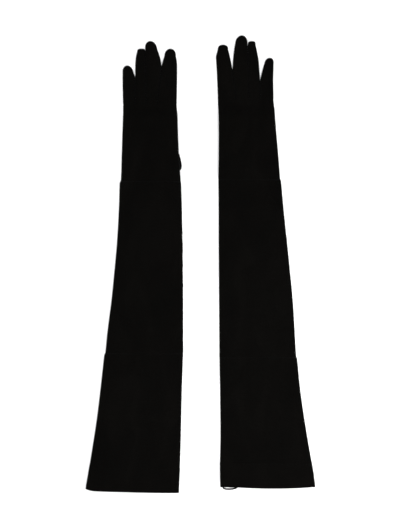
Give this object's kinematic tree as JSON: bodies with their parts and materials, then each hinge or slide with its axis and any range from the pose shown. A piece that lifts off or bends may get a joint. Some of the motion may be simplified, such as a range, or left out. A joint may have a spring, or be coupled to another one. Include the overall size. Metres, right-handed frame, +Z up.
{
  "type": "opera gloves",
  "caption": "Pair of long elbow-length leather opera gloves lying flat, backs up, with pieced sleeves, finger stalls with side walls, tucked thumbs and a silk lining.",
  "frame": {"origin": "under the middle of the pair, on the surface that the gloves lie on", "axes": "+Y from the hems to the fingertips, +X from the left-hand glove to the right-hand glove, +Z up through the backs of the hands"},
  "size_m": [0.345, 0.6864, 0.0159],
  "materials": {
    "suede": "black suede lambskin, very matt, with a fine short nap",
    "seam": "the same suede turned in and stitched with black thread",
    "lining": "black silk with a soft sheen",
    "loop": "thin black leather cord, matt"
  },
  "bodies": {
    "left_upper": {"left_upper_sleeve": "suede", "left_upper_lining": "lining", "left_upper_edge_seam": "seam", "left_upper_hem_facing": "suede", "left_upper_elbow_seam": "seam"},
    "left_forearm": {"left_forearm_sleeve": "suede", "left_forearm_lining": "lining", "left_forearm_edge_seam": "seam", "left_forearm_wrist_seam": "seam"},
    "left_hand": {"left_hand_trank": "suede", "left_hand_lining": "lining", "left_hand_edge_seam": "seam"},
    "left_index": {"left_index_stall": "suede", "left_index_lining": "lining", "left_index_fourchettes": "suede"},
    "left_middle": {"left_middle_stall": "suede", "left_middle_lining": "lining", "left_middle_fourchettes": "suede"},
    "left_ring": {"left_ring_stall": "suede", "left_ring_lining": "lining", "left_ring_fourchettes": "suede"},
    "left_little": {"left_little_stall": "suede", "left_little_lining": "lining", "left_little_fourchettes": "suede"},
    "left_thumb": {"left_thumb_stall": "suede", "left_thumb_lining": "lining", "left_thumb_seam": "seam"},
    "right_upper": {"right_upper_sleeve": "suede", "right_upper_lining": "lining", "right_upper_edge_seam": "seam", "right_upper_hem_facing": "suede", "right_upper_elbow_seam": "seam", "right_hanger_loop": "loop", "right_loop_tacks": "seam"},
    "right_forearm": {"right_forearm_sleeve": "suede", "right_forearm_lining": "lining", "right_forearm_edge_seam": "seam", "right_forearm_wrist_seam": "seam"},
    "right_hand": {"right_hand_trank": "suede", "right_hand_lining": "lining", "right_hand_edge_seam": "seam"},
    "right_index": {"right_index_stall": "suede", "right_index_lining": "lining", "right_index_fourchettes": "suede"},
    "right_middle": {"right_middle_stall": "suede", "right_middle_lining": "lining", "right_middle_fourchettes": "suede"},
    "right_ring": {"right_ring_stall": "suede", "right_ring_lining": "lining", "right_ring_fourchettes": "suede"},
    "right_little": {"right_little_stall": "suede", "right_little_lining": "lining", "right_little_fourchettes": "suede"},
    "right_thumb": {"right_thumb_stall": "suede", "right_thumb_lining": "lining", "right_thumb_seam": "seam"}
  },
  "joints": [
    {"name": "pair_spread", "type": "slide", "parent": "left_forearm", "child": "right_forearm", "axis": [1, 0, 0], "range_m": [0, 0.15]},
    {"name": "left_elbow_fold", "type": "hinge", "parent": "left_forearm", "child": "left_upper", "pos_m": [-0.08, -0.135, 0.0093], "axis": [-1, 0, 0], "range_deg": [0, 150]},
    {"name": "left_wrist_fold", "type": "hinge", "parent": "left_forearm", "child": "left_hand", "pos_m": [-0.08, 0.123, 0.0093], "axis": [1, 0, 0], "range_deg": [0, 80]},
    {"name": "left_index_fold", "type": "hinge", "parent": "left_hand", "child": "left_index", "pos_m": [-0.0506, 0.239, 0.0083], "axis": [1, 0, 0], "range_deg": [0, 90]},
    {"name": "left_middle_fold", "type": "hinge", "parent": "left_hand", "child": "left_middle", "pos_m": [-0.07345, 0.239, 0.0083], "axis": [1, 0, 0], "range_deg": [0, 90]},
    {"name": "left_ring_fold", "type": "hinge", "parent": "left_hand", "child": "left_ring", "pos_m": [-0.08985, 0.239, 0.0083], "axis": [1, 0, 0], "range_deg": [0, 90]},
    {"name": "left_little_fold", "type": "hinge", "parent": "left_hand", "child": "left_little", "pos_m": [-0.1069, 0.239, 0.0083], "axis": [1, 0, 0], "range_deg": [0, 90]},
    {"name": "left_thumb_swing", "type": "hinge", "parent": "left_hand", "child": "left_thumb", "pos_m": [-0.04747, 0.157, 0], "axis": [0, 0, -1], "range_deg": [0, 45]},
    {"name": "right_elbow_fold", "type": "hinge", "parent": "right_forearm", "child": "right_upper", "pos_m": [0.08, -0.141, 0.0093], "axis": [-1, 0, 0], "range_deg": [0, 150]},
    {"name": "right_wrist_fold", "type": "hinge", "parent": "right_forearm", "child": "right_hand", "pos_m": [0.08, 0.126, 0.0093], "axis": [1, 0, 0], "range_deg": [0, 80]},
    {"name": "right_index_fold", "type": "hinge", "parent": "right_hand", "child": "right_index", "pos_m": [0.04015, 0.247, 0.0083], "axis": [1, 0, 0], "range_deg": [0, 90]},
    {"name": "right_middle_fold", "type": "hinge", "parent": "right_hand", "child": "right_middle", "pos_m": [0.06325, 0.247, 0.0083], "axis": [1, 0, 0], "range_deg": [0, 90]},
    {"name": "right_ring_fold", "type": "hinge", "parent": "right_hand", "child": "right_ring", "pos_m": [0.0814, 0.247, 0.0083], "axis": [1, 0, 0], "range_deg": [0, 90]},
    {"name": "right_little_fold", "type": "hinge", "parent": "right_hand", "child": "right_little", "pos_m": [0.09975, 0.247, 0.0083], "axis": [1, 0, 0], "range_deg": [0, 90]},
    {"name": "right_thumb_swing", "type": "hinge", "parent": "right_hand", "child": "right_thumb", "pos_m": [0.04267, 0.16, 0], "axis": [0, 0, 1], "range_deg": [0, 45]}
  ]
}
